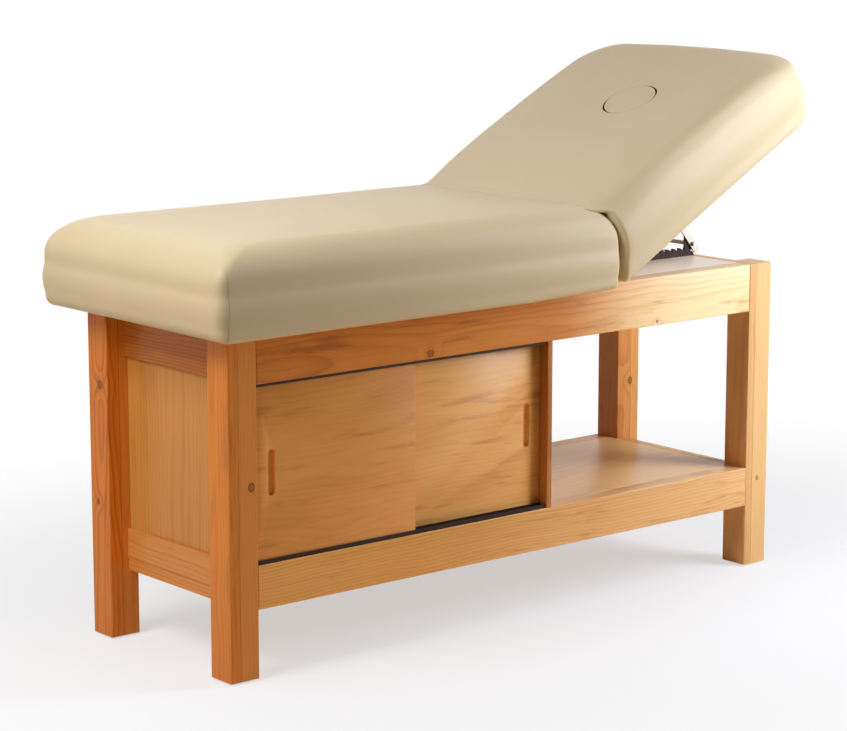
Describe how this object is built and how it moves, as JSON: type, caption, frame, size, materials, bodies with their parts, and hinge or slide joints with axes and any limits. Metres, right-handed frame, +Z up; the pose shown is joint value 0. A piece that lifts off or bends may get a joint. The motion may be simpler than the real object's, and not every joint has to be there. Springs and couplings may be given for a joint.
{
  "type": "spa bed with cabinet base",
  "caption": "Padded spa bed on a pine frame with a tilting back section, a face hole with a lift-out plug, sliding cabinet doors and an open shelf bay",
  "frame": {"origin": "on the floor, under the middle of the bed's outline with the back section raised as stored", "axes": "+X along the bed from the foot end to the head end, +Y from the door side to the back, +Z up"},
  "size_m": [1.7226, 0.666, 1.2153],
  "materials": {
    "leg_front_foot_wood": "clear satin lacquer",
    "leg_back_foot_wood": "clear satin lacquer",
    "leg_front_head_wood": "clear satin lacquer",
    "leg_back_head_wood": "clear satin lacquer",
    "front_top_rail_wood": "clear satin lacquer",
    "back_top_rail_wood": "clear satin lacquer",
    "foot_top_rail_wood": "clear satin lacquer",
    "head_top_rail_wood": "clear satin lacquer",
    "front_lower_rail_wood": "clear satin lacquer",
    "back_lower_rail_wood": "clear satin lacquer",
    "foot_lower_rail_wood": "clear satin lacquer",
    "head_lower_rail_wood": "clear satin lacquer",
    "hinge_cross_rail_wood": "clear satin lacquer",
    "foot_end_panel_wood": "clear satin lacquer",
    "cabinet_back_panel_wood": "clear satin lacquer",
    "partition_panel_wood": "clear satin lacquer",
    "bottom_shelf_wood": "clear satin lacquer",
    "shelf_cleats_wood": "clear satin lacquer",
    "head_deck_wood": "clear satin lacquer",
    "deck_cleats_wood": "clear satin lacquer",
    "foot_board_wood": "clear satin lacquer",
    "left_door_wood": "clear satin lacquer",
    "right_door_wood": "clear satin lacquer",
    "back_board_wood": "clear satin lacquer",
    "back_battens_wood": "clear satin lacquer",
    "plug_board_wood": "clear satin lacquer",
    "foot_cushion_cover": "smooth coated upholstery fabric over foam",
    "back_cushion_cover": "smooth coated upholstery fabric over foam",
    "face_hole_plug_cover": "smooth coated upholstery fabric over foam",
    "upper_door_track_finish": "dark brown extruded",
    "lower_door_track_finish": "dark brown extruded",
    "rack_front_finish": "dark paint",
    "rack_back_finish": "dark paint",
    "hinge_leaves_fixed_finish": "zinc plated",
    "hinge_leaves_moving_finish": "zinc plated",
    "hinge_pins_finish": "plain steel",
    "foot_glides_finish": "dark moulded",
    "prop_bracket_finish": "dark paint",
    "prop_pivot_pin_finish": "plain steel",
    "prop_arm_front_finish": "zinc plated",
    "prop_arm_back_finish": "zinc plated",
    "prop_foot_rod_finish": "plain steel",
    "prop_web_plates_finish": "dark paint"
  },
  "bodies": {
    "frame": {"leg_front_foot": "leg_front_foot_wood", "leg_back_foot": "leg_back_foot_wood", "leg_front_head": "leg_front_head_wood", "leg_back_head": "leg_back_head_wood", "front_top_rail": "front_top_rail_wood", "back_top_rail": "back_top_rail_wood", "foot_top_rail": "foot_top_rail_wood", "head_top_rail": "head_top_rail_wood", "front_lower_rail": "front_lower_rail_wood", "back_lower_rail": "back_lower_rail_wood", "foot_lower_rail": "foot_lower_rail_wood", "head_lower_rail": "head_lower_rail_wood", "hinge_cross_rail": "hinge_cross_rail_wood", "foot_end_panel": "foot_end_panel_wood", "cabinet_back_panel": "cabinet_back_panel_wood", "partition_panel": "partition_panel_wood", "bottom_shelf": "bottom_shelf_wood", "shelf_cleats": "shelf_cleats_wood", "head_deck": "head_deck_wood", "deck_cleats": "deck_cleats_wood", "foot_board": "foot_board_wood", "foot_cushion": "foot_cushion_cover", "upper_door_track": "upper_door_track_finish", "lower_door_track": "lower_door_track_finish", "rack_front": "rack_front_finish", "rack_back": "rack_back_finish", "hinge_leaves_fixed": "hinge_leaves_fixed_finish", "hinge_pins": "hinge_pins_finish", "foot_glides": "foot_glides_finish"},
    "left_door": {"left_door": "left_door_wood"},
    "right_door": {"right_door": "right_door_wood"},
    "backrest": {"back_board": "back_board_wood", "back_battens": "back_battens_wood", "back_cushion": "back_cushion_cover", "hinge_leaves_moving": "hinge_leaves_moving_finish", "prop_bracket": "prop_bracket_finish", "prop_pivot_pin": "prop_pivot_pin_finish"},
    "prop": {"prop_arm_front": "prop_arm_front_finish", "prop_arm_back": "prop_arm_back_finish", "prop_foot_rod": "prop_foot_rod_finish", "prop_web_plates": "prop_web_plates_finish"},
    "plug": {"face_hole_plug": "face_hole_plug_cover", "plug_board": "plug_board_wood"}
  },
  "joints": [
    {"name": "left_door_slide", "type": "slide", "parent": "frame", "child": "left_door", "axis": [1, 0, 0], "range_m": [0, 0.373]},
    {"name": "right_door_slide", "type": "slide", "parent": "frame", "child": "right_door", "axis": [-1, 0, 0], "range_m": [0, 0.373]},
    {"name": "backrest_tilt", "type": "hinge", "parent": "frame", "child": "backrest", "pos_m": [0.23821, 0, 0.7303], "axis": [0, -1, 0], "range_deg": [-29.5, 5]},
    {"name": "prop_fold", "type": "hinge", "parent": "backrest", "child": "prop", "pos_m": [0.58195, 0, 0.94316], "axis": [0, -1, 0], "range_deg": [-15.09, 81.18]},
    {"name": "plug_lift", "type": "slide", "parent": "backrest", "child": "plug", "axis": [-0.4924, 0, 0.8704], "range_m": [0, 0.2]}
  ],
  "couplings": [
    {"joint": "prop_fold", "follows": "backrest_tilt", "ratio": -2.718}
  ]
}
